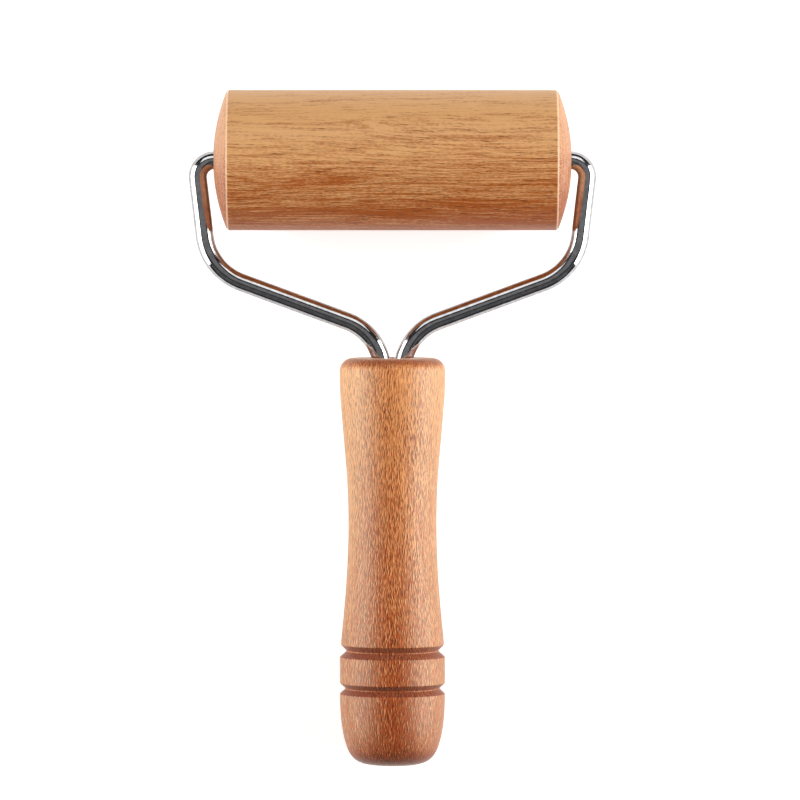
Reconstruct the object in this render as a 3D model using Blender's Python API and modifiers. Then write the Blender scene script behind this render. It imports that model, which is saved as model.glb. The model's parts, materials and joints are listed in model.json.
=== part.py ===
"""A one-handed wooden hand roller: a turned beech roller that spins on two bent steel arms, and a turned handle.

It is modelled in the tool's own axes and then laid on a table.
Tool axes: the origin is the middle of the roller, +X runs along the roller, -Y runs down the handle and
+Z is up. The parts hang from an empty that tips the tool until the roller and the butt of the handle both
touch the floor, z = 0.
"""

import math

import bmesh
import bpy
import numpy as np
from mathutils import Matrix

MM = 0.001

# The roller: a cylinder with a shallow dome at each end.
ROLLER_RADIUS = 18.6 * MM
ROLLER_BARREL = 87.6 * MM          # arris to arris
ROLLER_DOME = 3.7 * MM             # how far each dome stands out past its arris
ROLLER_ARRIS = 0.7 * MM            # the rounding of that edge
ROLLER_STEPS = 72

# The bearing in each end of the roller: a plain bush in a blind bore.
BUSH_RADIUS = 4.0 * MM
BUSH_LENGTH = 18.0 * MM
BUSH_INSET = 0.9 * MM              # the bush sits this far below the tip of the dome
BUSH_CHAMFER = 0.4 * MM
BORE_DEPTH = 27.0 * MM             # from the tip of the dome to the floor of the bore
BORE_POINT = 2.0 * MM              # the cone that the drill leaves in the floor
PRESS_GAP = 0.15 * MM              # between pieces that touch on the real tool
RUNNING_GAP = 0.1 * MM             # between the steel and the bush that turns on it

# The arms: two mirror-image steel rods, each bent three times in one plane.
ROD_RADIUS = 2.4 * MM
ROD_STEPS_PER_BEND = 12
STUB_TIP = 23.5 * MM               # where the axle stub ends, from the middle of the roller
SHOULDER = (52.15 * MM, 0.0)       # corner of the stub and the leg
ELBOW = (48.7 * MM, -29.2 * MM)    # corner of the leg and the slanted arm
NECK_SLOPE = math.radians(20.2)    # the slanted arm falls this much towards the handle
TANG_OFFSET = 2.55 * MM            # each tang runs this far from the handle's axis
SHOULDER_BEND = 4.45 * MM
ELBOW_BEND = 15.0 * MM
NECK_BEND = 14.5 * MM
TANG_DEPTH = 46.0 * MM             # the length of tang that is inside the handle

# The handle, measured from the flat of its nose towards its butt.
HANDLE_TOP = 52.4 * MM             # from the roller's axis to the nose
HANDLE_STEPS = 56
NOSE_ROUND = 3.5 * MM
NOSE_RADIUS = 14.0 * MM
GRIP = (                           # (distance from the nose, radius) down the grip
    (6.0 * MM, NOSE_RADIUS),
    (14.3 * MM, 13.52 * MM),
    (22.8 * MM, 12.8 * MM),
    (32.0 * MM, 12.05 * MM),
    (42.0 * MM, 11.7 * MM),
    (52.5 * MM, 11.87 * MM),
    (63.0 * MM, 12.5 * MM),
    (75.7 * MM, 13.68 * MM),
)
BAND_RADIUS = 13.95 * MM
GROOVES = (                        # (distance of its bottom from the nose, half width, bottom radius)
    (77.8 * MM, 1.6 * MM, 12.1 * MM),
    (87.8 * MM, 1.4 * MM, 12.4 * MM),
)
GROOVE_LIP = 0.3 * MM
BUTT = (                           # the rounded end, down to the flat in its middle
    (90.6 * MM, 13.95 * MM),
    (94.5 * MM, 13.78 * MM),
    (98.5 * MM, 13.34 * MM),
    (102.3 * MM, 12.5 * MM),
    (105.3 * MM, 11.2 * MM),
    (107.0 * MM, 9.5 * MM),
    (107.9 * MM, 7.0 * MM),
    (108.2 * MM, 4.0 * MM),
)

# The socket in the nose of the handle: one bore that holds both tangs, wider at its mouth for the bends.
SOCKET_RADIUS = 5.25 * MM
SOCKET_MOUTH = 6.0 * MM
SOCKET_FLARE = 4.5 * MM            # the length of the wider mouth
SOCKET_DEPTH = 50.0 * MM
SOCKET_POINT = 2.2 * MM
SOCKET_STEPS = 36
RESIN_INSET = 1.0 * MM             # the resin stops this far below the nose
RESIN_FLOOR_GAP = 0.3 * MM
TANG_GAP = 0.25 * MM               # between the resin and the steel
CUTTER_OVERRUN = 2.0 * MM          # how far a cutter reaches out of the wood

BEECH_ROLLER = ((0.58, 0.29, 0.12), 0.42, 0.0)
BEECH_HANDLE = ((0.55, 0.25, 0.11), 0.40, 0.0)
POLISHED_STEEL = ((0.62, 0.62, 0.63), 0.12, 1.0)
NYLON = ((0.80, 0.79, 0.74), 0.45, 0.0)
RESIN = ((0.55, 0.40, 0.20), 0.25, 0.0)


# ---------------------------------------------------------------- outlines

def smooth_curve(stations, count):
    """A natural cubic spline through the stations, as count points evenly spread by chord length."""
    points = np.array(stations)
    knots = np.concatenate(([0.0], np.cumsum(np.hypot(*np.diff(points, axis=0).T))))
    steps = np.diff(knots)
    size = len(points)
    matrix = np.zeros((size, size))
    slopes = np.zeros((size, 2))
    matrix[0, 0] = 1.0
    matrix[-1, -1] = 1.0
    for row in range(1, size - 1):
        matrix[row, row - 1] = steps[row - 1]
        matrix[row, row] = 2.0 * (steps[row - 1] + steps[row])
        matrix[row, row + 1] = steps[row]
        after = (points[row + 1] - points[row]) / steps[row]
        before = (points[row] - points[row - 1]) / steps[row - 1]
        slopes[row] = 6.0 * (after - before)
    bend = np.linalg.solve(matrix, slopes)
    wanted = np.linspace(0.0, knots[-1], count)
    index = np.clip(np.searchsorted(knots, wanted, side="right") - 1, 0, size - 2)
    left = (knots[index + 1] - wanted)[:, None]
    right = (wanted - knots[index])[:, None]
    step = steps[index][:, None]
    curved = (bend[index] * left ** 3 + bend[index + 1] * right ** 3) / (6.0 * step)
    first = (points[index] / step - bend[index] * step / 6.0) * left
    second = (points[index + 1] / step - bend[index + 1] * step / 6.0) * right
    return [tuple(point) for point in curved + first + second]


def arc(centre, radius, start, end, count):
    """Points on a circle from one angle to the other, in degrees."""
    angles = np.radians(np.linspace(start, end, count))
    return [(centre[0] + radius * math.cos(a), centre[1] + radius * math.sin(a)) for a in angles]


def groove_outline(bottom, half_width, bottom_radius, lip_before, lip_after):
    """One V groove as (distance, radius), with a broken edge at each lip and a narrow floor."""
    floor = GROOVE_LIP / 2.0
    return [
        (bottom - half_width, lip_before),
        (bottom - half_width + GROOVE_LIP, lip_before - GROOVE_LIP),
        (bottom - floor, bottom_radius),
        (bottom + floor, bottom_radius),
        (bottom + half_width - GROOVE_LIP, lip_after - GROOVE_LIP),
        (bottom + half_width, lip_after),
    ]


def handle_outline():
    """The handle's outer side as (distance from the nose, radius)."""
    nose = arc((NOSE_ROUND, NOSE_RADIUS - NOSE_ROUND), NOSE_ROUND, 180.0, 90.0, 7)
    grip = smooth_curve(GRIP, 13)
    first, second = GROOVES
    outline = [(distance, radius) for distance, radius in nose]
    outline += grip
    outline += groove_outline(*first, GRIP[-1][1], BAND_RADIUS)
    outline += groove_outline(*second, BAND_RADIUS, BAND_RADIUS)
    outline += smooth_curve(BUTT, 12)
    return outline


def rounded_path(corners, radii):
    """A flat path through the corners, with each inner corner turned into an arc of its own radius."""
    path = [corners[0]]
    for before, corner, after, radius in zip(corners, corners[1:], corners[2:], radii):
        here = np.array(corner)
        inward = np.array(before) - here
        inward /= np.linalg.norm(inward)
        onward = np.array(after) - here
        onward /= np.linalg.norm(onward)
        half = math.acos(float(inward @ onward)) / 2.0
        middle = (inward + onward) / np.linalg.norm(inward + onward)
        centre = here + middle * radius / math.sin(half)
        start = here + inward * radius / math.tan(half) - centre
        turn = math.pi - 2.0 * half
        side = math.copysign(1.0, onward[0] * inward[1] - onward[1] * inward[0])
        for share in np.linspace(0.0, 1.0, ROD_STEPS_PER_BEND + 1):
            angle = side * turn * share
            x = start[0] * math.cos(angle) - start[1] * math.sin(angle)
            y = start[0] * math.sin(angle) + start[1] * math.cos(angle)
            path.append((centre[0] + x, centre[1] + y))
    path.append(corners[-1])
    return path


def arm_path(side, tang_end):
    """The centre line of one arm in the tool's XY plane; side is -1 for the left and 1 for the right."""
    neck_fall = (ELBOW[0] - TANG_OFFSET) * math.tan(NECK_SLOPE)
    corners = [
        (STUB_TIP, 0.0),
        SHOULDER,
        ELBOW,
        (TANG_OFFSET, ELBOW[1] - neck_fall),
        (TANG_OFFSET, -tang_end),
    ]
    path = rounded_path(corners, (SHOULDER_BEND, ELBOW_BEND, NECK_BEND))
    return [(side * x, y) for x, y in path]


def rest_tilt():
    """How far the tool tips about the roller before the handle touches the table too."""
    outline = np.array(handle_outline())
    reach = HANDLE_TOP + outline[:, 0]
    radius = outline[:, 1]
    far = np.hypot(reach, radius)
    tilts = np.arcsin(ROLLER_RADIUS / far) - np.arctan2(radius, reach)
    return float(tilts.min())


# ---------------------------------------------------------------- scene helpers

def clear_scene():
    for thing in list(bpy.data.objects):
        bpy.data.objects.remove(thing, do_unlink=True)


def new_collection(name):
    collection = bpy.data.collections.new(name)
    bpy.context.scene.collection.children.link(collection)
    return collection


def new_material(name, look):
    """A Principled material from a colour, a roughness and a metallic value."""
    colour, roughness, metallic = look
    material = bpy.data.materials.new(name)
    material.use_nodes = True
    shader = material.node_tree.nodes["Principled BSDF"]
    shader.inputs["Base Color"].default_value = (*colour, 1.0)
    shader.inputs["Roughness"].default_value = roughness
    shader.inputs["Metallic"].default_value = metallic
    material.diffuse_color = (*colour, 1.0)
    return material


def new_empty(name, collection, parent=None):
    empty = bpy.data.objects.new(name, None)
    collection.objects.link(empty)
    empty.parent = parent
    return empty


def turned(name, outline, steps, collection, parent, closed=False):
    """A solid turned about local Z from (radius, height) points that run down its outer side."""
    mesh = bpy.data.meshes.new(name)
    edges = [(i, i + 1) for i in range(len(outline) - 1)]
    if closed:
        edges.append((len(outline) - 1, 0))
    mesh.from_pydata([(radius, 0.0, height) for radius, height in outline], edges, [])
    piece = bpy.data.objects.new(name, mesh)
    collection.objects.link(piece)
    piece.parent = parent
    screw = piece.modifiers.new("turn", "SCREW")
    screw.axis = "Z"
    screw.steps = steps
    screw.render_steps = steps
    screw.use_merge_vertices = True
    screw.merge_threshold = 0.00001
    screw.use_smooth_shade = True
    return piece


def rod(name, path, radius, collection, parent):
    """A round rod along a flat path, with closed ends."""
    curve = bpy.data.curves.new(name, "CURVE")
    curve.dimensions = "3D"
    curve.bevel_depth = radius
    curve.bevel_resolution = 6
    curve.use_fill_caps = True
    spline = curve.splines.new("POLY")
    spline.points.add(len(path) - 1)
    for point, (x, y) in zip(spline.points, path):
        point.co = (x, y, 0.0, 1.0)
    piece = bpy.data.objects.new(name, curve)
    collection.objects.link(piece)
    piece.parent = parent
    return piece


def as_mesh(piece):
    """Turn a curve object into a mesh object of the same name, with its end caps welded on."""
    graph = bpy.context.evaluated_depsgraph_get()
    mesh = bpy.data.meshes.new_from_object(piece.evaluated_get(graph))
    shape = bmesh.new()
    shape.from_mesh(mesh)
    bmesh.ops.remove_doubles(shape, verts=shape.verts, dist=0.000001)
    bmesh.ops.recalc_face_normals(shape, faces=shape.faces)
    shape.to_mesh(mesh)
    shape.free()
    name = piece.name
    place = piece.matrix_world.copy()
    home = piece.users_collection[0]
    bpy.data.objects.remove(piece, do_unlink=True)
    solid = bpy.data.objects.new(name, mesh)
    home.objects.link(solid)
    solid.matrix_world = place
    return solid


def hide_cutter(piece):
    piece.hide_render = True
    piece.display_type = "WIRE"


def cut(piece, cutter):
    """Subtract a cutter from a piece."""
    boolean = piece.modifiers.new("cut " + cutter.name, "BOOLEAN")
    boolean.operation = "DIFFERENCE"
    boolean.solver = "EXACT"
    boolean.object = cutter
    hide_cutter(cutter)


def lay_along_handle(piece):
    """Stand a turned piece at the handle's nose, with its local +Z towards the roller."""
    piece.matrix_local = Matrix.Translation((0.0, -HANDLE_TOP, 0.0)) @ Matrix.Rotation(-math.pi / 2.0, 4, "X")


# ---------------------------------------------------------------- the pieces

def make_roller(collection, axle):
    """The beech roller, with a blind bore for a bush in each end."""
    tip = ROLLER_BARREL / 2.0 + ROLLER_DOME
    dome_radius = (ROLLER_RADIUS ** 2 + ROLLER_DOME ** 2) / (2.0 * ROLLER_DOME)
    bore = BUSH_RADIUS + PRESS_GAP
    edge = ROLLER_RADIUS - ROLLER_ARRIS
    first = math.degrees(math.acos(bore / dome_radius))
    last = math.degrees(math.acos(edge / dome_radius))
    dome = arc((0.0, tip - dome_radius), dome_radius, first, last, 7)
    corner = (edge, ROLLER_BARREL / 2.0 - ROLLER_ARRIS)
    arris = arc(corner, ROLLER_ARRIS, 60.0, 0.0, 4)
    floor = tip - BORE_DEPTH
    half = [(0.0, floor - BORE_POINT), (bore, floor)] + dome + arris
    outline = half + [(radius, -height) for radius, height in reversed(half)]
    roller = turned("roller", outline, ROLLER_STEPS, collection, axle)
    roller.data.materials.append(new_material("roller_beech", BEECH_ROLLER))
    return roller


def make_bush(name, side, collection, axle):
    """One plain bush, flush to just below the dome, chamfered at both mouths of its hole."""
    inner = ROD_RADIUS + RUNNING_GAP
    half = BUSH_LENGTH / 2.0
    outline = [
        (inner + BUSH_CHAMFER, half),
        (BUSH_RADIUS - BUSH_CHAMFER, half),
        (BUSH_RADIUS, half - BUSH_CHAMFER),
        (BUSH_RADIUS, BUSH_CHAMFER - half),
        (BUSH_RADIUS - BUSH_CHAMFER, -half),
        (inner + BUSH_CHAMFER, -half),
        (inner, BUSH_CHAMFER - half),
        (inner, half - BUSH_CHAMFER),
    ]
    bush = turned(name, outline, SOCKET_STEPS, collection, axle, closed=True)
    tip = ROLLER_BARREL / 2.0 + ROLLER_DOME
    bush.location = (0.0, 0.0, side * (tip - BUSH_INSET - half))
    bush.data.materials.append(new_material(name + "_nylon", NYLON))
    return bush


def make_arm(name, side, collection, tool):
    """One bent rod: axle stub, shoulder, leg, elbow, slanted arm, neck and tang."""
    arm = rod(name, arm_path(side, HANDLE_TOP + TANG_DEPTH), ROD_RADIUS, collection, tool)
    arm.data.materials.append(new_material(name + "_steel", POLISHED_STEEL))
    return arm


def socket_outline(radius_change, top, floor):
    """The socket's wall as (radius, height), drawn in or out by radius_change."""
    wall = SOCKET_RADIUS + radius_change
    flare = (SOCKET_MOUTH - SOCKET_RADIUS) / SOCKET_FLARE
    return [
        (0.0, top),
        (wall + flare * (SOCKET_FLARE + top), top),
        (wall, -SOCKET_FLARE),
        (wall, floor),
        (0.0, floor - SOCKET_POINT),
    ]


def make_handle(collection, cutters, tool):
    """The turned beech handle, with the socket for the tangs bored in its nose."""
    outline = [(0.0, 0.0)] + [(radius, -distance) for distance, radius in handle_outline()]
    outline.append((0.0, outline[-1][1]))
    handle = turned("handle", outline, HANDLE_STEPS, collection, tool)
    lay_along_handle(handle)
    handle.data.materials.append(new_material("handle_beech", BEECH_HANDLE))
    drill = turned("socket_drill", socket_outline(0.0, CUTTER_OVERRUN, -SOCKET_DEPTH), SOCKET_STEPS, cutters, tool)
    lay_along_handle(drill)
    cut(handle, drill)
    return handle


def make_resin(collection, cutters, tool):
    """The cured resin that fills the socket round both tangs and under their ends."""
    outline = socket_outline(-PRESS_GAP, -RESIN_INSET, RESIN_FLOOR_GAP - SOCKET_DEPTH)
    resin = turned("socket_resin", outline, SOCKET_STEPS, collection, tool)
    lay_along_handle(resin)
    resin.data.materials.append(new_material("cured_resin", RESIN))
    for name, side in (("left_tang_space", -1), ("right_tang_space", 1)):
        path = arm_path(side, HANDLE_TOP + TANG_DEPTH + TANG_GAP)
        space = as_mesh(rod(name, path, ROD_RADIUS + TANG_GAP, cutters, None))
        space.parent = tool
        cut(resin, space)
    return resin


def build():
    clear_scene()
    parts = new_collection("wooden_hand_roller")
    cutters = new_collection("cutters")

    tool = new_empty("tool_axes", parts)
    axle = new_empty("roller_axis", parts, tool)
    axle.rotation_euler = (0.0, math.pi / 2.0, 0.0)

    make_handle(parts, cutters, tool)
    make_resin(parts, cutters, tool)
    make_arm("left_arm", -1, parts, tool)
    make_arm("right_arm", 1, parts, tool)
    make_roller(parts, axle)
    make_bush("left_bush", -1, parts, axle)
    make_bush("right_bush", 1, parts, axle)

    tilt = rest_tilt()
    reach = HANDLE_TOP + BUTT[-1][0]
    butt_low = reach * math.cos(tilt) + BUTT[-1][1] * math.sin(tilt)
    tool.location = (0.0, (butt_low - ROLLER_RADIUS) / 2.0, ROLLER_RADIUS)
    tool.rotation_euler = (tilt, 0.0, 0.0)


build()
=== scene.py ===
# %% [markdown]
# # A one-handed wooden hand roller
# The tool is a beech roller that spins on two bent rods of polished steel, set in a turned beech
# handle. This script dresses the engineering model: it loads the model as a fixed frame, lays finer
# surfaces over its pieces, gives each its finish, and lights it like a small object on a white table.

import json
import math

import bpy
import numpy as np
from mathutils import Matrix, Vector


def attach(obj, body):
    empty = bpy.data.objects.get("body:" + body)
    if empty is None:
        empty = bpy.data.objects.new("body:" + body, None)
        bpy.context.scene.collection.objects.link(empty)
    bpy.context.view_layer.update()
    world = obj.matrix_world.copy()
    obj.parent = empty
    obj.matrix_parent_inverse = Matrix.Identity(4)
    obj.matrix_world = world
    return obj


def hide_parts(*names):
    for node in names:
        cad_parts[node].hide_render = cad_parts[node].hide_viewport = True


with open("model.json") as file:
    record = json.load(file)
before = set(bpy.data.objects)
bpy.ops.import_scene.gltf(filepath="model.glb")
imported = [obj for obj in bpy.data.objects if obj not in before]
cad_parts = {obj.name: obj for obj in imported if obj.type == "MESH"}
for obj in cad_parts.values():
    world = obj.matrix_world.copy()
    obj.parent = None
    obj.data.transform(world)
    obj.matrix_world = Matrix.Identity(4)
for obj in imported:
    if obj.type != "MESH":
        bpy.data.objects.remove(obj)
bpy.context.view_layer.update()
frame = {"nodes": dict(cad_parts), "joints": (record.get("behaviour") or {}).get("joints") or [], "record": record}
MM = 0.001
print("nodes:", ", ".join(sorted(frame["nodes"])))

# %% [markdown]
# ## The tool's own axes
# The tool lies on its roller and on the butt of its handle, so the handle slopes down a little. Shapes
# are easier to state in the tool's own axes, where the roller's axis is X and the handle runs along Y.
# The frame gives both: the joint says where the roller turns, and the mount on the butt says where the
# handle points. Reading them from there keeps the dressing on the tool if the tool is ever laid down
# another way.

# %% Work out the tool's axes from the frame
record = frame["record"]
spin = next(joint for joint in frame["joints"] if joint["name"] == "roller_spin")
butt = next(mount for mount in record["mounts"] if mount["name"] == "butt_face")
roller_centre = Vector(spin["pos_m"])
across = Vector(spin["axis"]).normalized()
down_handle = Vector(butt["axis"]).normalized()
upward = across.cross(-down_handle)
reach = (Vector(butt["pos_m"]) - roller_centre).dot(down_handle)


def axes_matrix(first, second, third, origin):
    """A matrix whose columns are three unit directions and a place."""
    matrix = Matrix((first, second, third)).transposed().to_4x4()
    matrix.translation = origin
    return matrix


tool_axes = axes_matrix(across, -down_handle, upward, roller_centre)
print("handle slopes down by", round(math.degrees(math.asin(-down_handle.z)), 2), "degrees")
print("from the roller's axis to the butt:", round(reach / MM, 1), "mm")

# %% [markdown]
# ## Turned pieces
# Wood turned on a lathe, and plain bushes, are surfaces of revolution: one outline swept round an axis.
# The Screw modifier or the Spin tool can do this, but a formula on a grid gives every ring exactly, has
# no doubled points and lets the outline go in and out of a bore, so the whole closed piece is one
# outline.

# %% Make a piece
def new_piece(name, points, faces, body, node, material):
    """Make a smooth mesh object from world points, hang it on the body it rides on and hide the node it replaces.
    """
    mesh = bpy.data.meshes.new(name)
    mesh.from_pydata(points.tolist(), [], faces)
    mesh.shade_smooth()
    mesh.materials.append(material)
    piece = bpy.data.objects.new(name, mesh)
    bpy.context.scene.collection.objects.link(piece)
    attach(piece, body)
    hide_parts(node)
    print(name, "has", len(points), "points and", len(faces), "faces")
    return piece


# %% Join rings of points into faces
def grid_faces(rows, sides, closed):
    """Quads between neighbouring rings of points; closed also joins the last ring to the first."""
    row = np.arange(rows if closed else rows - 1)[:, None]
    side = np.arange(sides)[None, :]
    after = (row + 1) % rows
    beside = (side + 1) % sides
    quads = np.stack((
        row * sides + side,
        row * sides + beside,
        after * sides + beside,
        after * sides + side,
    ), axis=-1)
    return quads.reshape(-1, 4).tolist()


def fans(rows, sides):
    """Triangles that close the first and last rings onto the two pole points stored after the grid."""
    side = np.arange(sides)
    beside = (side + 1) % sides
    first = np.full(sides, rows * sides)
    last = first + 1
    end = (rows - 1) * sides
    start_fan = np.stack((first, beside, side), axis=-1)
    end_fan = np.stack((last, end + side, end + beside), axis=-1)
    return start_fan.tolist() + end_fan.tolist()


print("3 rings of 4 points make", len(grid_faces(3, 4, False)), "quads and", len(fans(3, 4)), "triangles")


# %% Sweep an outline round an axis
def placed(points, matrix):
    """Every point carried from a piece's own axes to the world: p' = R p + t."""
    turn = np.array(matrix.to_3x3())
    return points @ turn.T + np.array(matrix.translation)


def turned_surface(outline, sides, matrix, closed=False):
    """P(s, t) = (r(s) cos t, r(s) sin t, a(s)): the outline (a, r) swept round the third axis.

    An open outline starts and ends on the axis, and its two end points become the poles. With the axis drawn
    to the right and the radius upwards, an outline runs clockwise, so that the faces point outwards."""
    outline = np.asarray(outline)
    body = outline if closed else outline[1:-1]
    angle = np.arange(sides) * (2.0 * math.pi / sides)
    along = np.broadcast_to(body[:, :1], (len(body), sides))
    ring = np.stack((body[:, 1:] * np.cos(angle), body[:, 1:] * np.sin(angle), along), axis=-1)
    points = ring.reshape(-1, 3)
    faces = grid_faces(len(body), sides, closed)
    if not closed:
        poles = np.array([(0.0, 0.0, outline[0, 0]), (0.0, 0.0, outline[-1, 0])])
        points = np.concatenate((points, poles))
        faces += fans(len(body), sides)
    return placed(points, matrix), faces


# %% [markdown]
# ## Outlines
# An outline is drawn the way a turner would mark it: straight runs, round fillets and one long sweep
# through a few measured radii. The sweep is a cubic spline, which is the curve that a thin bent batten
# takes. A Bezier curve could follow it too, but its handles would have to be set by eye at every
# station.

# %% Lines, arcs and a batten curve
def line(start, end, count):
    """Points from start up to, and without, end: P(k) = start + (end - start) k / count."""
    share = np.arange(count)[:, None] / count
    return np.array(start) * (1.0 - share) + np.array(end) * share


def arc(centre, radius, start, end, count):
    """Points on a circle between two angles in degrees: centre + radius (cos t, sin t)."""
    angle = np.radians(np.linspace(start, end, count))
    return np.stack((centre[0] + radius * np.cos(angle), centre[1] + radius * np.sin(angle)), axis=-1)


def batten(stations, count):
    """A natural cubic spline through the stations: the second derivative is zero at both ends."""
    points = np.array(stations)
    knots = np.concatenate(([0.0], np.cumsum(np.linalg.norm(np.diff(points, axis=0), axis=1))))
    step = np.diff(knots)
    size = len(points)
    matrix = np.eye(size)
    inner = np.arange(1, size - 1)
    matrix[inner, inner - 1] = step[:-1]
    matrix[inner, inner] = 2.0 * (step[:-1] + step[1:])
    matrix[inner, inner + 1] = step[1:]
    slope = np.diff(points, axis=0) / step[:, None]
    load = np.zeros((size, 2))
    load[1:-1] = 6.0 * np.diff(slope, axis=0)
    bend = np.linalg.solve(matrix, load)
    wanted = np.linspace(0.0, knots[-1], count)
    k = np.clip(np.searchsorted(knots, wanted, side="right") - 1, 0, size - 2)
    left = (knots[k + 1] - wanted)[:, None]
    right = (wanted - knots[k])[:, None]
    h = step[k][:, None]
    curved = (bend[k] * left ** 3 + bend[k + 1] * right ** 3) / (6.0 * h)
    from_left = (points[k] / h - bend[k] * h / 6.0) * left
    from_right = (points[k + 1] / h - bend[k + 1] * h / 6.0) * right
    return curved + from_left + from_right


print("heights of a batten over a bump:", batten(((0, 0), (5, 1), (10, 0)), 7)[:, 1].round(2))


# %% [markdown]
# ## Node helpers
# Materials are node trees. A few small helpers place a node and join it, so that each finish below
# reads as a list of what it does. Drawing the trees by hand in the editor would give the same nodes,
# but nothing to read.

# %% Place and join shader nodes
def fill(tree, node, inputs):
    """Give each input a value, or join it to another node's output."""
    for key, value in inputs.items():
        socket = node.inputs[key]
        if isinstance(value, bpy.types.NodeSocket):
            tree.links.new(value, socket)
        else:
            socket.default_value = value


def add(tree, kind, inputs=(), **settings):
    """Add a node; inputs maps a socket's name or number to a value or to another node's output."""
    node = tree.nodes.new(kind)
    for key, value in settings.items():
        setattr(node, key, value)
    fill(tree, node, dict(inputs))
    return node


def sums(tree, operation, *values):
    """One Math node: operation applied to one to three values or outputs."""
    return add(tree, "ShaderNodeMath", dict(enumerate(values)), operation=operation).outputs[0]


def fade(tree, value, low, high, to_low=0.0, to_high=1.0):
    """Map a value smoothly from the range low..high to to_low..to_high."""
    node = add(tree, "ShaderNodeMapRange", {
        "Value": value, "From Min": low, "From Max": high, "To Min": to_low, "To Max": to_high,
    }, interpolation_type="SMOOTHSTEP")
    return node.outputs["Result"]


def tint(tree, factor, first, second, blend="MIX"):
    """Mix two colours by a factor."""
    node = add(tree, "ShaderNodeMix", data_type="RGBA", blend_type=blend)
    fill(tree, node, {0: factor, 6: first, 7: second})
    return node.outputs[2]


NOISE_LOW, NOISE_HIGH = 0.32, 0.68


def noise(tree, vector, scale, detail=2.0, roughness=0.5):
    """A cloudy value, stretched so that it really runs from 0 to 1."""
    node = add(tree, "ShaderNodeTexNoise", {
        "Vector": vector, "Scale": scale, "Detail": detail, "Roughness": roughness,
    })
    return fade(tree, node.outputs["Fac"], NOISE_LOW, NOISE_HIGH)


def stretched(tree, parts, x, y, z, seed=0.0):
    """A vector (x, y, z) scaled part by part, shifted by a seed so that two patterns don't agree."""
    scaled = [sums(tree, "MULTIPLY_ADD", part, size, seed) for part, size in zip(parts, (x, y, z))]
    return add(tree, "ShaderNodeCombineXYZ", dict(enumerate(scaled))).outputs[0]


def new_material(name):
    """A material, its node tree and its shader node."""
    material = bpy.data.materials.new(name)
    material.use_nodes = True
    print("new material:", name)
    return material, material.node_tree, material.node_tree.nodes["Principled BSDF"]


# %% [markdown]
# ## Beech
# Beech is a pale, even wood that turns rosy when it is oiled. What makes it beech is its figure of
# short dark dashes along the grain, which are the ends of its rays. Under them lie the yearly rings,
# soft streaks and the fibre itself. An image could be wrapped round a turning, but it would stretch at
# the ends and show a seam. So the wood is made as a solid: every point is measured in millimetres, with
# the grain along Z and the origin on the piece's own axis, and each pattern is a pattern in space.
#
# The rings and streaks grow round the heart of the tree, which lies off to one side. The dashes are
# thin ribbons laid out round the piece's own axis instead, so that they show on every side of a small
# turning. One dash lies in each cell of a stretched Voronoi pattern, which spreads them evenly but not
# in rows, and a painted highlight lies along one side of it, as if light caught the rim of the hollow.

# %% Dashes along the grain
# DASH_HIGHLIGHT_ASIDE is in dash widths: it is how far to one side of each dash its painted highlight lies. Each
# dash has a luck
# from 0 to 1: it is missing if that is under the rarity, and at full strength from LUCK_RANGE above it.
DASH_CORE = 0.35
DASH_HIGHLIGHT_ASIDE = 1.7
LUCK_RANGE = 0.5


def vector_math(tree, operation, *vectors):
    """One Vector Math node: operation applied to one to three vectors."""
    return add(tree, "ShaderNodeVectorMath", dict(enumerate(vectors)), operation=operation).outputs


def dashes(tree, point, spacing, width, length, rarity, seed):
    """Two masks for the ends of rays: the dark dash, and a painted highlight along one side of it.

    With u the way round the Z axis and z the way along it from the middle of the nearest cell, in mm, a
    mask falls from 1 to 0 as the length of (u / width, z / length) goes from DASH_CORE to 1."""
    cells = Vector((1.0 / spacing, 1.0 / spacing, 0.5 / length))
    squeezed = vector_math(tree, "MULTIPLY_ADD", point, cells, (seed, seed, seed))[0]
    cell = add(tree, "ShaderNodeTexVoronoi", {"Vector": squeezed, "Scale": 1.0, "Randomness": 1.0})
    offset = vector_math(tree, "SUBTRACT", squeezed, cell.outputs["Position"])[0]
    level = vector_math(tree, "MULTIPLY", point, (1.0, 1.0, 0.0))[0]
    sideways = vector_math(tree, "CROSS_PRODUCT", (0.0, 0.0, 1.0), level)[0]
    around = vector_math(tree, "NORMALIZE", sideways)[0]
    u = vector_math(tree, "DOT_PRODUCT", offset, around)["Value"]
    u = sums(tree, "MULTIPLY", u, spacing / width)
    z = sums(tree, "MULTIPLY", add(tree, "ShaderNodeSeparateXYZ", {0: offset}).outputs[2], 2.0)
    luck = add(tree, "ShaderNodeSeparateColor", {0: cell.outputs["Color"]}).outputs[0]
    strength = fade(tree, luck, rarity, rarity + LUCK_RANGE)
    masks = []
    for aside in (0.0, DASH_HIGHLIGHT_ASIDE):
        across_dash = sums(tree, "ADD", u, aside)
        corner = add(tree, "ShaderNodeCombineXYZ", {0: across_dash, 1: z}).outputs[0]
        away = vector_math(tree, "LENGTH", corner)["Value"]
        masks.append(sums(tree, "MULTIPLY", fade(tree, away, DASH_CORE, 1.0, 1.0, 0.0), strength))
    return masks


# %% [markdown]
# The grain of real wood wanders, so every point is first moved a few millimetres sideways by a slow
# noise. Rings, broad clouds, streaks and fibre are then read at the moved point, and their sum with the
# piece's own tone says how deep the wood's colour is.

# %% Rings, streaks and fibre
WANDER = 9.0
WANDER_PER_MM = (0.045, 0.045, 0.011)
HALF_RING = 1.4
BROAD_PER_MM = (0.11, 0.11, 0.012)
STREAK_PER_MM = (1.7, 1.7, 0.05)


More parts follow.
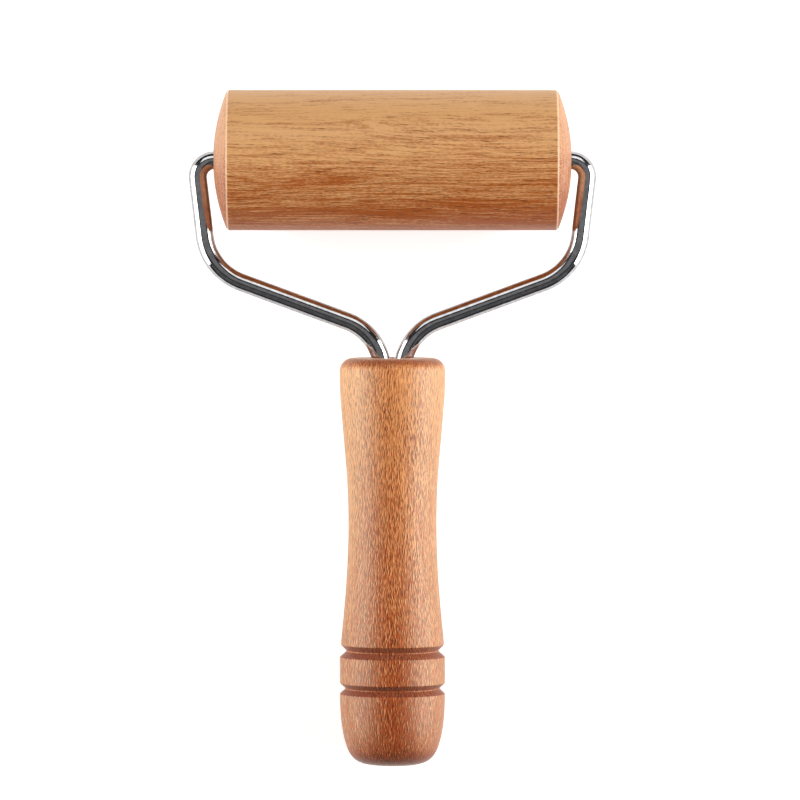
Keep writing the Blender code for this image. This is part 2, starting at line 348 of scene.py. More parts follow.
def wandered(tree, point):
    """P' = P + WANDER (n(P) - 1/2), sideways only, where n is a slow noise with three parts."""
    slow = vector_math(tree, "MULTIPLY", point, WANDER_PER_MM)[0]
    wander = add(tree, "ShaderNodeTexNoise", {"Vector": slow, "Scale": 1.0, "Detail": 2.0})
    shift = vector_math(tree, "SUBTRACT", wander.outputs["Color"], (0.5, 0.5, 0.5))[0]
    return vector_math(tree, "MULTIPLY_ADD", shift, (WANDER, WANDER, 0.0), point)[0]


def grown_figure(tree, given, moved, fibre_per_mm):
    """The wood's tone, as the sum of its patterns, and the fibre pattern by itself.

    A ring is the square of a triangle wave of the distance from the heart: its late wood is a thin line."""
    grown = vector_math(tree, "ADD", moved, given["Heart"])[0]
    parts = add(tree, "ShaderNodeSeparateXYZ", {0: grown}).outputs[:3]
    flat = add(tree, "ShaderNodeCombineXYZ", {0: parts[0], 1: parts[1]}).outputs[0]
    out = vector_math(tree, "LENGTH", flat)["Value"]
    triangle = sums(tree, "PINGPONG", sums(tree, "DIVIDE", out, HALF_RING), 1.0)
    late_wood = sums(tree, "POWER", triangle, 2.0)
    broad = noise(tree, stretched(tree, parts, *BROAD_PER_MM, seed=3.7), 1.0)
    streak = noise(tree, stretched(tree, parts, *STREAK_PER_MM, seed=11.3), 1.0, 3.0, 0.65)
    fibre = noise(tree, stretched(tree, parts, *fibre_per_mm, seed=23.1), 1.0, 2.0, 0.6)

    # Painted shade: the tone deepens steadily in one direction, set per piece, for light that falls off away from
    # the lamps.
    tone = vector_math(tree, "DOT_PRODUCT", given["Point"], given["Shade Slope"])["Value"]
    tone = sums(tree, "ADD", tone, given["Tone"])
    for pattern, amount in ((broad, "Broad Amount"), (streak, "Streak Amount"), (fibre, "Fibre Amount")):
        centred = sums(tree, "SUBTRACT", pattern, 0.5)
        tone = sums(tree, "MULTIPLY_ADD", centred, given[amount], tone)
    return sums(tree, "MULTIPLY_ADD", late_wood, given["Ring Amount"], tone), fibre


# %% [markdown]
# Three things then change the colour by place. The flanks of a handle are painted paler and creamier
# than its top: a painted sheen for the light that the side boxes and the white table throw on them.
# End grain drinks more oil, so it is tinted where the surface is cut across the grain. And a thin pale
# line is painted along the roller's arris: a painted highlight where the arris catches the side boxes.

# %% Painted flank sheen, end grain and a painted arris highlight
# The painted flank sheen and the painted arris highlight are measured in mm. A tuple is what fade takes: low, high
# and what it gives there.
PAINTED_SHEEN_START, PAINTED_SHEEN_FULL = 0.5, 10.0
PAINTED_SHEEN_ACROSS = (0.1, 0.6, 1.0, 0.0)
PAINTED_SHEEN_TONE = (0.6, 1.1, 1.0, 0.5)
END_ACROSS = (0.15, 0.85)
ARRIS_HIGHLIGHT = (1.0, 0.83, 0.58, 1.0)
HIGHLIGHT_CORE, HIGHLIGHT_END, HIGHLIGHT_SHARE = 0.05, 0.35, 0.4


def placed_colour(tree, given, figured, tone):
    """The figured colour mixed with the painted flank sheen, multiplied by the end grain's, mixed with the painted
    arris highlight.
    """
    point = add(tree, "ShaderNodeSeparateXYZ", {0: given["Point"]}).outputs
    # Painted sheen: away from the top line, the side grain is mixed towards a paler, creamier colour, for light
    # from the sides.
    aside = sums(tree, "ABSOLUTE", point[0])
    painted_sheen = fade(tree, aside, PAINTED_SHEEN_START, PAINTED_SHEEN_FULL, 0.0, given["Painted Sheen Amount"])
    painted_sheen = sums(tree, "MULTIPLY", painted_sheen, fade(tree, given["Across"], *PAINTED_SHEEN_ACROSS))
    painted_sheen = sums(tree, "MULTIPLY", painted_sheen, fade(tree, tone, *PAINTED_SHEEN_TONE))
    sheened = tint(tree, painted_sheen, figured, given["Painted Sheen"])
    colour = tint(tree, fade(tree, given["Across"], *END_ACROSS), sheened, given["End"], "MULTIPLY")
    # Painted highlight: a thin pale line where the arris lies, for the glint of the side boxes on it.
    from_middle = sums(tree, "ABSOLUTE", point[2])
    from_arris = sums(tree, "ABSOLUTE", sums(tree, "SUBTRACT", from_middle, given["Arris"]))
    arris_highlight = fade(tree, from_arris, HIGHLIGHT_CORE, HIGHLIGHT_END, HIGHLIGHT_SHARE, 0.0)
    return tint(tree, arris_highlight, colour, ARRIS_HIGHLIGHT)


# %% [markdown]
# Two pieces of beech from different trees need the same nodes with other numbers, so the wood is a node
# group. It puts out a colour, a roughness, how much lacquer lies on the wood and a height for the bump:
# the dashes are small hollows where the lacquer has sunk in.

# %% The wood group
VECTORS = ("Point", "Heart", "Shade Slope")
COLOURS = ("Pale", "Deep", "Dash", "Painted Sheen", "End")
NUMBERS = (
    "Tone", "Dash Highlight Amount", "Ring Amount", "Broad Amount", "Streak Amount", "Fibre Amount", "Across",
    "Painted Sheen Amount", "Lacquer", "Arris",
)
SECOND_SPACING, SECOND_WIDTH, SECOND_LENGTH = 1.27, 0.8, 0.7
DASH_TONE = (0.1, 0.7, 0.1, 1.0)
GLOSS, GLOSS_SPREAD = 0.38, 0.12
DASH_HEIGHT, FIBRE_HEIGHT = -1.0, -0.4


def make_beech_group(name, spacing, width, length, rarity, fibre_across, fibre_along):
    """Node group: from a point in wood space to the wood's colour, roughness, lacquer and height.

    spacing, width and length are those of the dashes, in mm; rarity goes from 0 to 1; fibres are per mm."""
    tree = bpy.data.node_groups.new(name, "ShaderNodeTree")
    socket = tree.interface.new_socket
    for titles, kind in ((VECTORS, "Vector"), (COLOURS, "Color"), (NUMBERS, "Float")):
        for title in titles:
            socket(title, in_out="INPUT", socket_type="NodeSocket" + kind)
    socket("Color", in_out="OUTPUT", socket_type="NodeSocketColor")
    for title in ("Roughness", "Coat Weight", "Height"):
        socket(title, in_out="OUTPUT", socket_type="NodeSocketFloat")
    given = tree.nodes.new("NodeGroupInput").outputs
    result = tree.nodes.new("NodeGroupOutput")

    moved = wandered(tree, given["Point"])
    tone, fibre = grown_figure(tree, given, moved, (fibre_across, fibre_across, fibre_along))
    first, first_highlight = dashes(tree, moved, spacing, width, length, rarity, seed=5.0)
    second, second_highlight = dashes(
        tree, moved, spacing * SECOND_SPACING, width * SECOND_WIDTH, length * SECOND_LENGTH, rarity,
        seed=17.0,
    )
    dash = sums(tree, "MAXIMUM", first, second)
    dash_highlight = sums(tree, "MAXIMUM", first_highlight, second_highlight)

    dash = sums(tree, "MULTIPLY", dash, fade(tree, tone, *DASH_TONE))
    # Painted highlight: the wood is made paler along one side of each dash, as if light caught the rim of the
    # hollow.
    tone = sums(tree, "SUBTRACT", tone, sums(tree, "MULTIPLY", dash_highlight, given["Dash Highlight Amount"]))
    ground = tint(tree, fade(tree, tone, 0.0, 1.0), given["Pale"], given["Deep"])
    figured = tint(tree, dash, ground, given["Dash"])

    uncut = sums(tree, "SUBTRACT", 1.0, dash)
    fill(tree, result, {
        "Color": placed_colour(tree, given, figured, tone),
        "Roughness": sums(tree, "MULTIPLY_ADD", fibre, GLOSS_SPREAD, GLOSS),
        "Coat Weight": sums(tree, "MULTIPLY", given["Lacquer"], uncut),
        "Height": sums(tree, "MULTIPLY_ADD", dash, DASH_HEIGHT, sums(tree, "MULTIPLY", fibre, FIBRE_HEIGHT)),
    })
    print(name, "is a group of", len(tree.nodes), "nodes")
    return tree


# %% [markdown]
# The material places the group: a Mapping node turns world metres into wood millimetres, so the figure
# stays right however the tool lies. The shader adds a thin lacquer and a faint sheen, which is the nap
# that oil raises on sanded wood.

# %% The beech finish
MM_PER_METRE = 1000.0
BUMP_DEPTH = 0.0004
NAP = (1.0, 0.82, 0.60, 1.0)


def beech_material(name, group, grain_axes, colours, figure, relief, shine, sheen):
    """One beech finish: grain_axes maps wood space, centred on the piece's own axis, to the world."""
    material, tree, shader = new_material(name)
    to_wood = grain_axes.inverted()
    place = add(tree, "ShaderNodeMapping", {
        "Vector": add(tree, "ShaderNodeTexCoord").outputs["Object"],
        "Location": to_wood.translation * MM_PER_METRE,
        "Rotation": to_wood.to_euler(),
        "Scale": (MM_PER_METRE, MM_PER_METRE, MM_PER_METRE),
    })
    grain = grain_axes.to_3x3().col[2]
    normal = add(tree, "ShaderNodeTexCoord").outputs["Normal"]
    cut = sums(tree, "ABSOLUTE", vector_math(tree, "DOT_PRODUCT", normal, grain)["Value"])
    wood = add(tree, "ShaderNodeGroup", node_tree=group)
    fill(tree, wood, {"Point": place.outputs[0], "Across": cut, **colours, **figure})
    bump = add(tree, "ShaderNodeBump", {
        "Height": wood.outputs["Height"], "Strength": relief, "Distance": BUMP_DEPTH,
    })
    fill(tree, shader, {
        "Base Color": wood.outputs["Color"],
        "Roughness": wood.outputs["Roughness"],
        "Coat Weight": wood.outputs["Coat Weight"],
        "Normal": bump.outputs[0],
        "IOR": 1.5,
        "Specular IOR Level": shine,
        "Sheen Weight": sheen,
        "Sheen Roughness": 0.5,
        "Sheen Tint": NAP,
        "Coat Roughness": 0.22,
    })
    return material


# %% [markdown]
# ## The handle
# The handle is turned from one blank: a rounded nose, a waisted grip, two V grooves with a band between
# them, and a rounded butt with a small flat. The bore for the steel is part of the same outline, so the
# nose has a real mouth. The outline is measured from the nose towards the butt.

# %% Measure the handle, in mm
# Pairs are a distance from the nose and a radius.
HANDLE_TOP = 52.4
NOSE_ROUND = 3.5
NOSE_RADIUS = 14.0
MOUTH_RADIUS = 6.22
MOUTH_ROUND = 0.25
SOCKET_RADIUS = 5.25
SOCKET_DEPTH = 50.0
DRILL_POINT = 2.2
COUNTERSINK = 4.5
GRIP = (
    (6.0, 14.0), (14.3, 13.52), (22.8, 12.8), (32.0, 12.05),
    (42.0, 11.7), (52.5, 11.87), (63.0, 12.5), (75.7, 13.68),
)
BAND_RADIUS = 13.95
BAND_START, BAND_END = 80.0, 85.8
UPPER_GROOVE = {"bottom": 77.8, "half_width": 1.6, "bottom_radius": 12.1, "lip_before": 13.68}
LOWER_GROOVE = {"bottom": 87.8, "half_width": 1.4, "bottom_radius": 12.4, "lip_before": 13.95}
LIP = 0.35
LIP_FALL = 0.03
HANDLE_LENGTH = 108.2
BUTT_FLAT = 4.0
BUTT = (
    (90.6, 13.95), (94.5, 13.78), (98.5, 13.34), (102.3, 12.5),
    (105.3, 11.2), (107.0, 9.5), (107.9, 7.0), (HANDLE_LENGTH, BUTT_FLAT),
)
print("handle and neck together:", HANDLE_TOP + HANDLE_LENGTH, "mm")

# %% [markdown]
# A tool leaves no mathematically sharp corner in wood, so the grooves are drawn as straight cuts and
# each corner is then eased. A Bevel modifier would ease every edge by the same amount, the fine ones of
# the outline as well.

# %% Ease a corner and cut a groove
def softened(points, ease, count):
    """A polyline with each inner corner replaced by a quadratic curve: (1-s)^2 A + 2 s (1-s) C + s^2 B.

    C is the corner; A and B lie ease away from it on its two runs, or half a run where that is shorter."""
    points = np.asarray(points, dtype=float)
    pieces = [points[:1]]
    for before, corner, after in zip(points, points[1:], points[2:]):
        start = corner + (before - corner) * min(0.5, ease / np.linalg.norm(before - corner))
        end = corner + (after - corner) * min(0.5, ease / np.linalg.norm(after - corner))
        share = np.linspace(0.0, 1.0, count)[:, None]
        pieces.append((1 - share) ** 2 * start + 2 * share * (1 - share) * corner + share ** 2 * end)
    pieces.append(points[-1:])
    return np.concatenate(pieces)


def groove(bottom, half_width, bottom_radius, lip_before):
    """A V groove with softened lips and floor."""
    marks = [
        (bottom - half_width - LIP, lip_before - LIP_FALL),
        (bottom - half_width, lip_before),
        (bottom, bottom_radius),
        (bottom + half_width, BAND_RADIUS),
        (bottom + half_width + LIP, BAND_RADIUS),
    ]
    return softened(marks, LIP, 7)


# %% Draw the handle's outline
nose_corner = NOSE_RADIUS - NOSE_ROUND
handle_outline = np.concatenate((
    line((SOCKET_DEPTH + DRILL_POINT, 0.0), (SOCKET_DEPTH, SOCKET_RADIUS), 4),
    line((SOCKET_DEPTH, SOCKET_RADIUS), (COUNTERSINK, SOCKET_RADIUS), 12),
    line((COUNTERSINK, SOCKET_RADIUS), (MOUTH_ROUND, MOUTH_RADIUS - MOUTH_ROUND), 6),
    arc((MOUTH_ROUND, MOUTH_RADIUS), MOUTH_ROUND, 270.0, 180.0, 5),
    line((0.0, MOUTH_RADIUS), (0.0, nose_corner), 10)[1:],
    arc((NOSE_ROUND, nose_corner), NOSE_ROUND, 180.0, 90.0, 28),
    batten(((NOSE_ROUND, NOSE_RADIUS),) + GRIP, 150)[1:-1],
    groove(**UPPER_GROOVE),
    line((BAND_START, BAND_RADIUS), (BAND_END, BAND_RADIUS), 12)[1:],
    groove(**LOWER_GROOVE),
    batten(BUTT, 70),
    line((HANDLE_LENGTH, BUTT_FLAT), (HANDLE_LENGTH, 0.0), 6)[1:],
    np.array([(HANDLE_LENGTH, 0.0)]),
)) * MM
print("handle outline has", len(handle_outline), "points")

# %% [markdown]
# The handle's beech is plain and rosy and close-set with dashes. It is painted deeper in colour towards
# the butt, a painted shade for the light that falls off there, and its flanks get a painted sheen.

# %% Turn the handle
HANDLE_COLOURS = {
    "Pale": (0.97, 0.425, 0.145, 1.0),
    "Deep": (0.42, 0.070, 0.010, 1.0),
    "Dash": (0.12, 0.013, 0.001, 1.0),
    "Painted Sheen": (0.76, 0.63, 0.38, 1.0),
    "End": (0.5, 0.33, 0.26, 1.0),
}
NO_ARRIS = -10.0
# Heart and Arris are in mm, the painted shade's slope is tone per mm, and the other numbers are shares of tone or
# colour.
# The painted shade deepens the handle towards the butt; Flank Amount is how much painted sheen the flanks get.
HANDLE_FIGURE = {
    "Heart": (6.0, 58.0, 0.0), "Shade Slope": (0.0, 0.0, 0.005), "Tone": 0.45,
    "Dash Highlight Amount": 0.5, "Ring Amount": 0.05, "Broad Amount": 0.15, "Streak Amount": 0.2, "Fibre Amount": 0.5,
    "Painted Sheen Amount": 0.3, "Lacquer": 0.08, "Arris": NO_ARRIS,
}
handle_axes = axes_matrix(across, upward, down_handle, roller_centre + down_handle * (HANDLE_TOP * MM))
coarse_beech = make_beech_group(
    "coarse_beech", spacing=0.7, width=0.18, length=1.1, rarity=0.0, fibre_across=3.4, fibre_along=0.6,
)
handle_beech = beech_material(
    "handle_beech", coarse_beech, handle_axes, HANDLE_COLOURS, HANDLE_FIGURE,
    relief=0.12, shine=0.3, sheen=0.35,
)
HANDLE_SIDES = 256
points, faces = turned_surface(handle_outline, HANDLE_SIDES, handle_axes)
new_piece("handle_surface", points, faces, "yoke_and_handle", "handle", handle_beech)

# %% [markdown]
# ## The roller
# The roller is one solid turning: a barrel, a shallow dome at each end, and a crisp arris between them
# that is only just broken with sandpaper. A blind bore in each end takes a bush.

# %% Draw the roller's outline
ROLLER_RADIUS = 18.6
HALF_BARREL = 43.8
DOME = 3.7
ARRIS = 0.7
ARRIS_START = 55.0
BORE_RADIUS = 4.15
BORE_FLOOR = 20.5
BORE_POINT = 2.0
BORE_EDGE = 0.4
tip = HALF_BARREL + DOME
dome_radius = (ROLLER_RADIUS ** 2 + DOME ** 2) / (2.0 * DOME)
bore_angle = math.degrees(math.asin(BORE_RADIUS / dome_radius))
edge_angle = math.degrees(math.asin((ROLLER_RADIUS - ARRIS) / dome_radius))
half_roller = np.concatenate((
    line((BORE_FLOOR - BORE_POINT, 0.0), (BORE_FLOOR, BORE_RADIUS), 4),
    line((BORE_FLOOR, BORE_RADIUS), (tip - BORE_EDGE, BORE_RADIUS), 12),
    arc((tip - dome_radius, 0.0), dome_radius, bore_angle, edge_angle, 40),
    arc((HALF_BARREL - ARRIS, ROLLER_RADIUS - ARRIS), ARRIS, ARRIS_START, 90.0, 8),
))
barrel = line((HALF_BARREL - ARRIS, ROLLER_RADIUS), (ARRIS - HALF_BARREL, ROLLER_RADIUS), 90)[1:]
roller_outline = np.concatenate((half_roller, barrel, half_roller[::-1] * (-1.0, 1.0)))[::-1] * MM
print("roller outline has", len(roller_outline), "points; each dome is part of a sphere of radius",
      round(dome_radius, 1), "mm")

# %% [markdown]
# The roller's beech comes from another board: paler, with longer and rarer dashes and more streaks. It is
# painted deeper and redder towards the handle's side, a painted shade for the side that gets less light.

# %% Turn the roller
ROLLER_COLOURS = {
    "Pale": (0.80, 0.43, 0.175, 1.0),
    "Deep": (0.40, 0.09, 0.011, 1.0),
    "Dash": (0.12, 0.012, 0.001, 1.0),
    "Painted Sheen": (0.76, 0.63, 0.38, 1.0),
    "End": (0.72, 0.68, 0.80, 1.0),
}
# How far in from the end of the barrel the painted arris highlight lies, in mm.
HIGHLIGHT_INSET = 0.25
# Painted shade: the roller's tone deepens towards the handle's side, which gets less light as the tool lies; it
# turns with the roller.
ROLLER_FIGURE = {
    "Heart": (50.0, 9.0, 0.0), "Shade Slope": (0.0, 0.025, 0.0), "Tone": 0.41,
    "Dash Highlight Amount": 0.2, "Ring Amount": 0.15, "Broad Amount": 0.2, "Streak Amount": 0.5, "Fibre Amount": 0.3,
    "Painted Sheen Amount": 0.0, "Lacquer": 0.16, "Arris": HALF_BARREL - HIGHLIGHT_INSET,
}
roller_axes = axes_matrix(upward, down_handle, across, roller_centre)
fine_beech = make_beech_group(
    "fine_beech", spacing=1.1, width=0.14, length=2.2, rarity=0.4, fibre_across=3.0, fibre_along=0.9,
)
roller_beech = beech_material(
    "roller_beech", fine_beech, roller_axes, ROLLER_COLOURS, ROLLER_FIGURE,
    relief=0.03, shine=0.22, sheen=0.05,
)
ROLLER_SIDES = 288
points, faces = turned_surface(roller_outline, ROLLER_SIDES, roller_axes)
new_piece("roller_surface", points, faces, "roller", "roller", roller_beech)

# %% [markdown]
# ## The bushes
# A plain bush is a short tube: its closed outline goes down the outside and back up the hole, with a
# small chamfer at each mouth. Natural nylon is a warm white and faintly waxy.

# %% Mould the bushes
BUSH_HALF = 9.0
BUSH_OUTER = 4.0
BUSH_INNER = 2.5
CHAMFER = 0.4
BUSH_SUNK = 0.9
BUSH = (
    (BUSH_HALF, BUSH_INNER + CHAMFER), (BUSH_HALF, BUSH_OUTER - CHAMFER),
    (BUSH_HALF - CHAMFER, BUSH_OUTER), (CHAMFER - BUSH_HALF, BUSH_OUTER),
    (-BUSH_HALF, BUSH_OUTER - CHAMFER), (-BUSH_HALF, BUSH_INNER + CHAMFER),
    (CHAMFER - BUSH_HALF, BUSH_INNER), (BUSH_HALF - CHAMFER, BUSH_INNER),
)
BUSH_MIDDLE = tip - BUSH_SUNK - BUSH_HALF
BUSH_SIDES = 96
NYLON_SHADE, NYLON_LIGHT = (0.74, 0.73, 0.68, 1.0), (0.84, 0.83, 0.79, 1.0)
NYLON_CLOUDS = 400.0


def nylon_material():
    """Natural nylon: a warm white with soft clouds, half glossy."""
    material, tree, shader = new_material("natural_nylon")
    place = add(tree, "ShaderNodeTexCoord").outputs["Object"]
    cloud = noise(tree, place, NYLON_CLOUDS, 3.0)
    fill(tree, shader, {
        "Base Color": tint(tree, cloud, NYLON_SHADE, NYLON_LIGHT),
        "Roughness": fade(tree, cloud, 0.3, 0.7, 0.38, 0.5),
    })
    return material


nylon = nylon_material()
for name, side in (("left_bush", -1), ("right_bush", 1)):
    outline = (np.array(BUSH)[::-1] + (side * BUSH_MIDDLE, 0.0)) * MM
    points, faces = turned_surface(outline, BUSH_SIDES, roller_axes, closed=True)
    new_piece(name + "_surface", points, faces, "roller", name, nylon)

# %% [markdown]
# ## The steel arms
# Each arm is one rod bent cold over three pins, so its centre line is straight runs joined by arcs. A
# bevelled curve could draw it, but carrying a ring of points along the centre line keeps the rings
# square to it and spaces them closely in the bends, where polished steel would show every facet.

# %% Measure the rods, in mm
# Pairs are places in the tool's own axes: along the roller from its middle, and away from the handle.
ROD_RADIUS = 2.4
TIP_ROUND = 0.5
TIP_RINGS = 6
STUB_TIP = 23.5
SHOULDER = (52.15, 0.0)
ELBOW = (48.7, -29.2)
NECK_SLOPE = math.radians(20.2)
TANG_OFFSET = 2.55
TANG_DEPTH = 46.0
TANG_END = -(HANDLE_TOP + TANG_DEPTH)
BENDS = (4.45, 15.0, 14.5)
RING_SPACING = 0.35
RUN_STRETCH = 3.0
ROD_SIDES = 56
neck_fall = (ELBOW[0] - TANG_OFFSET) * math.tan(NECK_SLOPE)
corners = np.array([
    (STUB_TIP, 0.0), SHOULDER, ELBOW, (TANG_OFFSET, ELBOW[1] - neck_fall), (TANG_OFFSET, TANG_END),
])
print("a rod's corners, in mm:", corners.round(1).tolist())


# %% Bend a centre line
def bent(corners, radii, spacing):
    """A centre line through the corners: each inner corner becomes an arc that touches both its runs.

    The arc's centre lies on the corner's bisector, radius / sin(half the angle) away."""
    corners = np.asarray(corners, dtype=float)
    stretches = []
    here = corners[0]
    for before, corner, after, radius in zip(corners, corners[1:], corners[2:], radii):
        back = (before - corner) / np.linalg.norm(before - corner)
        on = (after - corner) / np.linalg.norm(after - corner)
        half = math.acos(float(back @ on)) / 2.0
        start = corner + back * radius / math.tan(half)
        centre = corner + (back + on) / np.linalg.norm(back + on) * radius / math.sin(half)
        turn = (math.pi - 2.0 * half) * math.copysign(1.0, on[0] * back[1] - on[1] * back[0])
        angle = np.linspace(0.0, turn, 2 + int(abs(turn) * radius / spacing))[:, None]
        arm = start - centre
        square = np.array((-arm[1], arm[0]))
        stretches.append(line(here, start, 2 + int(np.linalg.norm(start - here) / (RUN_STRETCH * spacing))))
        stretches.append((centre + arm * np.cos(angle) + square * np.sin(angle))[:-1])
        here = centre + arm * math.cos(turn) + square * math.sin(turn)
    last_run = np.linalg.norm(corners[-1] - here)
    stretches.append(line(here, corners[-1], 2 + int(last_run / (RUN_STRETCH * spacing))))
    stretches.append(corners[-1:])
    return np.concatenate(stretches)


# %% Carry a ring along the centre line
def rod_surface(path, radius, sides, matrix):
    """P(s, t) = C(s) + r(s) (N(s) cos t + B sin t): a ring carried along a flat centre line C.

    N is square to the line in its own plane, B is the plane's normal, and r falls to nothing at the tips."""
    run = np.gradient(path, axis=0)
    run /= np.linalg.norm(run, axis=1)[:, None]
    square = np.stack((run[:, 1], -run[:, 0]), axis=-1)
    quarter = np.linspace(0.0, math.pi / 2.0, TIP_RINGS)
    shrink = radius - TIP_ROUND + TIP_ROUND * np.sin(quarter)
    inset = TIP_ROUND * (1.0 - np.cos(quarter))
    head = path[0] + run[0] * inset[:, None]
    tail = path[-1] - run[-1] * inset[::-1, None]
    line_points = np.concatenate((head, path[2:-2], tail))
    size = np.concatenate((shrink, np.full(len(path) - 4, radius), shrink[::-1]))
    head_square = np.tile(square[0], (TIP_RINGS, 1))
    tail_square = np.tile(square[-1], (TIP_RINGS, 1))
    normal = np.concatenate((head_square, square[2:-2], tail_square))
    angle = np.arange(sides) * (2.0 * math.pi / sides)
    aside = size[:, None, None] * np.cos(angle)[None, :, None] * normal[:, None, :]
    flat = line_points[:, None, :] + aside
    lift = size[:, None] * np.sin(angle)[None, :]
    points = np.concatenate((flat, lift[:, :, None]), axis=-1).reshape(-1, 3)
    poles = np.array([(*path[0], 0.0), (*path[-1], 0.0)])
    faces = grid_faces(len(line_points), sides, False) + fans(len(line_points), sides)
    return placed(np.concatenate((points, poles)) * MM, matrix), faces


# %% Bend and polish the arms
STEEL_SHADE, STEEL_LIGHT = (0.54, 0.53, 0.54, 1.0), (0.70, 0.70, 0.71, 1.0)
SMEARS, FINE_WAVES = 700.0, 1800.0


def steel_material():
    """Polished steel: a mirror with a breath of unevenness and faint smears."""
    material, tree, shader = new_material("polished_steel")
    place = add(tree, "ShaderNodeTexCoord").outputs["Object"]
    smear = noise(tree, place, SMEARS, 3.0, 0.6)
    fine = noise(tree, place, FINE_WAVES)
    bump = add(tree, "ShaderNodeBump", {"Height": fine, "Strength": 0.06, "Distance": 0.00002})
    fill(tree, shader, {
        "Metallic": 1.0,
        "Base Color": tint(tree, smear, STEEL_SHADE, STEEL_LIGHT),
        "Roughness": fade(tree, smear, 0.35, 0.7, 0.05, 0.13),
        "Normal": bump.outputs[0],
    })
    return material


steel = steel_material()
for name, side in (("left_arm", -1), ("right_arm", 1)):
    path = bent(corners * (side, 1.0), BENDS, RING_SPACING)
    points, faces = rod_surface(path, ROD_RADIUS, ROD_SIDES, tool_axes)
    new_piece(name + "_surface", points, faces, "yoke_and_handle", name, steel)

# %% [markdown]
# ## The resin in the socket
# The resin is cut to fit round both tangs in the engineering model, and only its top shows, deep in the
# mouth of the socket. Its shape is right as it is, so it keeps its own mesh and only gets a finish.

# %% Finish the resin
RESIN_SHADE, RESIN_LIGHT = (0.30, 0.17, 0.06, 1.0), (0.48, 0.30, 0.12, 1.0)
RESIN_CLOUDS = 500.0


def resin_material():
    """Cured resin: glossy amber, a little cloudy."""
    material, tree, shader = new_material("cured_resin")
    place = add(tree, "ShaderNodeTexCoord").outputs["Object"]
    cloud = noise(tree, place, RESIN_CLOUDS, 3.0)
    fill(tree, shader, {
        "Base Color": tint(tree, cloud, RESIN_SHADE, RESIN_LIGHT),
        "Roughness": fade(tree, cloud, 0.3, 0.7, 0.12, 0.3),
    })
    return material


resin = frame["nodes"]["socket_resin"]
resin.data.materials.clear()
resin.data.materials.append(resin_material())
print("socket_resin keeps its", len(resin.data.polygons), "triangles")

# %% [markdown]
# ## The table, the light and the camera
# The tool lies on a white table in a soft, bright studio. The table gives off a little light of its
# own, as a light table does, so that shadows stay faint. A plane with a plain white finish could be lit
# until it is as bright, but then the wood would burn out before it.

# %% Lay the table
TABLE_SIZE = 3.0
TABLE_WHITE = (0.88, 0.88, 0.88, 1.0)
GLOW_ON_TOOL, GLOW_TO_EYE = 0.2, 0.54


def table_material():
    """A white table that the eye sees a little brighter than the tool does."""
    material, tree, shader = new_material("white_table")
    seen = add(tree, "ShaderNodeLightPath").outputs["Is Camera Ray"]
    fill(tree, shader, {
        "Base Color": TABLE_WHITE,
        "Roughness": 0.9,
        "Emission Color": (1.0, 1.0, 1.0, 1.0),
        "Emission Strength": fade(tree, seen, 0.0, 1.0, GLOW_ON_TOOL, GLOW_TO_EYE),
    })
    return material


table_mesh = bpy.data.meshes.new("table")
half = TABLE_SIZE / 2.0
table_corners = [(-half, -half, 0.0), (half, -half, 0.0), (half, half, 0.0), (-half, half, 0.0)]
table_mesh.from_pydata(table_corners, [], [(0, 1, 2, 3)])
table_mesh.materials.append(table_material())
table = bpy.data.objects.new("table", table_mesh)
bpy.context.scene.collection.objects.link(table)
print("table is", TABLE_SIZE, "m square")

# %% [markdown]
# A soft box stands low at each side, so both flanks of the turnings are bright and the middle of the
# handle is deeper. A weaker one lights the far side of the roller. Polished steel shows what stands
# round it: the side boxes draw its white lines, a dim card high on the near side and another on the
# ceiling are its grey core, and the dark room between them draws the black lines.

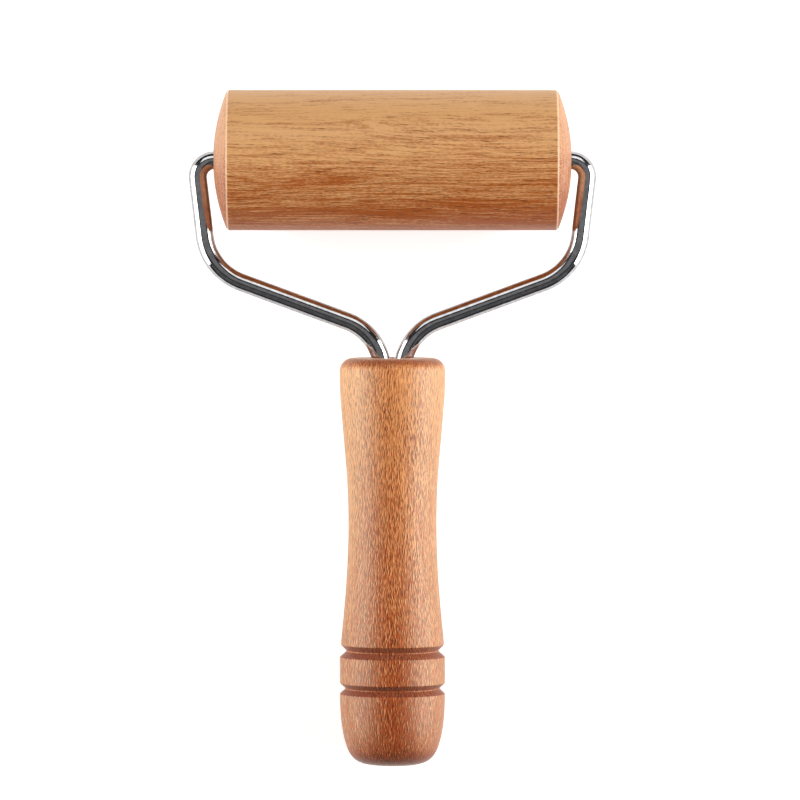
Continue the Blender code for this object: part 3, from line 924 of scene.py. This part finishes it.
# %% Light the tool
# Each box: its place, the point it faces, its width and height in m, and its power in W.
SOFT_BOXES = {
    "left_box": ((-0.45, 0.03, 0.21), (0.0, 0.03, 0.21), 0.52, 0.42, 3.15),
    "right_box": ((0.45, 0.03, 0.21), (0.0, 0.03, 0.21), 0.52, 0.42, 3.8),
    "far_box": ((0.0, 0.44, 0.42), (0.0, 0.07, 0.02), 0.7, 0.26, 0.75),
    "near_card": ((0.0, -0.67, 0.74), (0.0, 0.0, 0.0), 1.8, 0.72, 0.28),
    "ceiling_card": ((0.0, 0.1, 2.3), (0.0, 0.0, 0.0), 3.0, 1.2, 1.9),
}
ROOM = (0.035, 0.035, 0.038, 1.0)


def soft_box(name, place, aim, width, height, power):
    """An area light at a place, turned to face a point; lengths in m, power in W."""
    light = bpy.data.lights.new(name, "AREA")
    light.shape = "RECTANGLE"
    light.size = width
    light.size_y = height
    light.energy = power
    lamp = bpy.data.objects.new(name, light)
    lamp.location = place
    lamp.rotation_euler = (Vector(aim) - Vector(place)).to_track_quat("-Z", "Y").to_euler()
    bpy.context.scene.collection.objects.link(lamp)


for name, (place, aim, width, height, power) in SOFT_BOXES.items():
    soft_box(name, place, aim, width, height, power)
    print(name, "gives", power, "W")

world = bpy.data.worlds.new("studio")
world.use_nodes = True
background = world.node_tree.nodes["Background"]
background.inputs["Color"].default_value = ROOM
background.inputs["Strength"].default_value = 1.0
bpy.context.scene.world = world
bpy.context.scene.view_settings.view_transform = "Standard"

# %% [markdown]
# The camera looks straight down through a long lens, so that the tool keeps its true proportions. The
# lens follows from the height and from how wide the view is on the table.

# %% Place the camera
CAMERA_HEIGHT = 1.6
VIEW_WIDTH = 0.212
SENSOR = 36.0
AIM_RIGHT = 0.002
AIM_BELOW_ROLLER = 0.06355
camera_data = bpy.data.cameras.new("camera")
camera_data.sensor_width = SENSOR
camera_data.lens = SENSOR * CAMERA_HEIGHT / VIEW_WIDTH
camera = bpy.data.objects.new("camera", camera_data)
camera.location = (AIM_RIGHT, roller_centre.y - AIM_BELOW_ROLLER, roller_centre.z + CAMERA_HEIGHT)
bpy.context.scene.collection.objects.link(camera)
bpy.context.scene.camera = camera
print("lens:", round(camera_data.lens), "mm")
